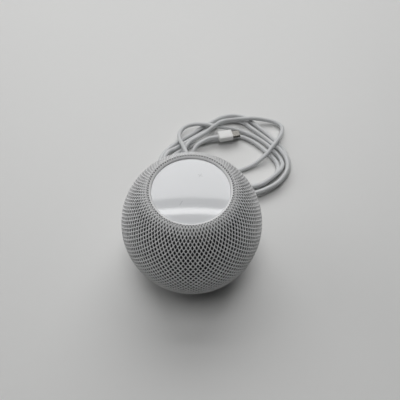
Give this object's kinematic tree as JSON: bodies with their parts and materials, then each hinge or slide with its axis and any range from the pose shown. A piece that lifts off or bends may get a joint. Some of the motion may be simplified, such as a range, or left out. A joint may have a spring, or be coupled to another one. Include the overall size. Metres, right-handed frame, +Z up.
{
  "type": "smart speaker",
  "caption": "Small round tabletop speaker in a knitted mesh cover, with a glossy touch top, a rubber foot and a fixed lead with a USB-C plug.",
  "frame": {"origin": "centre of the foot's underside, where the speaker stands", "axes": "+Z up through the touch disc; the lead leaves at the rear, +Y; -Y is the front"},
  "size_m": [0.1372, 0.1971, 0.0843],
  "materials": {
    "knit_fabric": "polyester mesh knit, matt with soft sheen",
    "gloss_white": "polished translucent white",
    "white_plastic": "satin moulded",
    "foot_rubber": "matt silicone",
    "black_rubber": "matt",
    "dark_plastic": "glass-filled, fine grain",
    "circuit_board": "solder mask, semi-gloss",
    "steel": "stamped and plated",
    "aluminium": "brushed sheet",
    "ferrite": "sintered, matt",
    "copper": "enamelled or printed copper",
    "paper_cone": "pressed pulp, fibrous",
    "spider_cloth": "resin-dipped woven cloth",
    "milky_plastic": "translucent, satin",
    "lead_white": "satin elastomer jacket"
  },
  "bodies": {
    "root": {"antenna_1": "copper", "antenna_2": "copper", "base_cover": "white_plastic", "base_gasket": "black_rubber", "base_screw_1": "steel", "base_screw_2": "steel", "base_screw_3": "steel", "base_screw_4": "steel", "board_power_socket": "milky_plastic", "board_screw_1": "steel", "board_screw_2": "steel", "board_screw_3": "steel", "cord_grommet": "lead_white", "driver_basket": "dark_plastic", "driver_magnet": "ferrite", "driver_spider": "spider_cloth", "driver_surround": "black_rubber", "driver_top_plate": "steel", "driver_yoke": "steel", "foot_ring": "foot_rubber", "heat_spreader": "aluminium", "housing_seal": "black_rubber", "inner_power_lead": "lead_white", "inner_power_plug": "milky_plastic", "knit_sleeve": "knit_fabric", "led_1": "milky_plastic", "led_2": "milky_plastic", "led_3": "milky_plastic", "led_board": "circuit_board", "left_radiator_frame": "dark_plastic", "left_radiator_surround": "black_rubber", "light_diffuser": "milky_plastic", "logic_board": "circuit_board", "main_housing": "dark_plastic", "mic_module_1": "steel", "mic_module_2": "steel", "mic_module_3": "steel", "plug_boot": "lead_white", "plug_insert": "dark_plastic", "plug_shell": "steel", "power_cord": "lead_white", "power_inductor": "ferrite", "processor_shield": "steel", "right_radiator_frame": "dark_plastic", "right_radiator_surround": "black_rubber", "sleeve_drawcord": "knit_fabric", "sleeve_top_ring": "dark_plastic", "top_housing": "dark_plastic", "touch_disc": "gloss_white", "touch_sensor": "copper", "waveguide_cone": "dark_plastic", "wireless_shield": "steel"},
    "driver_moving": {"driver_cone": "paper_cone", "driver_dust_cap": "paper_cone", "voice_coil_former": "aluminium", "voice_coil_winding": "copper"},
    "left_radiator": {"left_radiator_plate": "paper_cone", "left_radiator_weight": "steel"},
    "right_radiator": {"right_radiator_plate": "paper_cone", "right_radiator_weight": "steel"}
  },
  "joints": [
    {"name": "driver_travel", "type": "slide", "parent": "root", "child": "driver_moving", "axis": [0, 0, 1], "range_m": [-0.0015, 0.0015], "stiffness_N_per_m": 1200, "deforming": ["driver_surround", "driver_spider"]},
    {"name": "left_radiator_travel", "type": "slide", "parent": "root", "child": "left_radiator", "axis": [-1, 0, 0], "range_m": [-0.0013, 0.0013], "stiffness_N_per_m": 700, "deforming": ["left_radiator_surround"]},
    {"name": "right_radiator_travel", "type": "slide", "parent": "root", "child": "right_radiator", "axis": [1, 0, 0], "range_m": [-0.0013, 0.0013], "stiffness_N_per_m": 700, "deforming": ["right_radiator_surround"]}
  ],
  "couplings": [
    {"joint": "left_radiator_travel", "follows": "driver_travel", "ratio": 0.85},
    {"joint": "right_radiator_travel", "follows": "driver_travel", "ratio": 0.85}
  ]
}
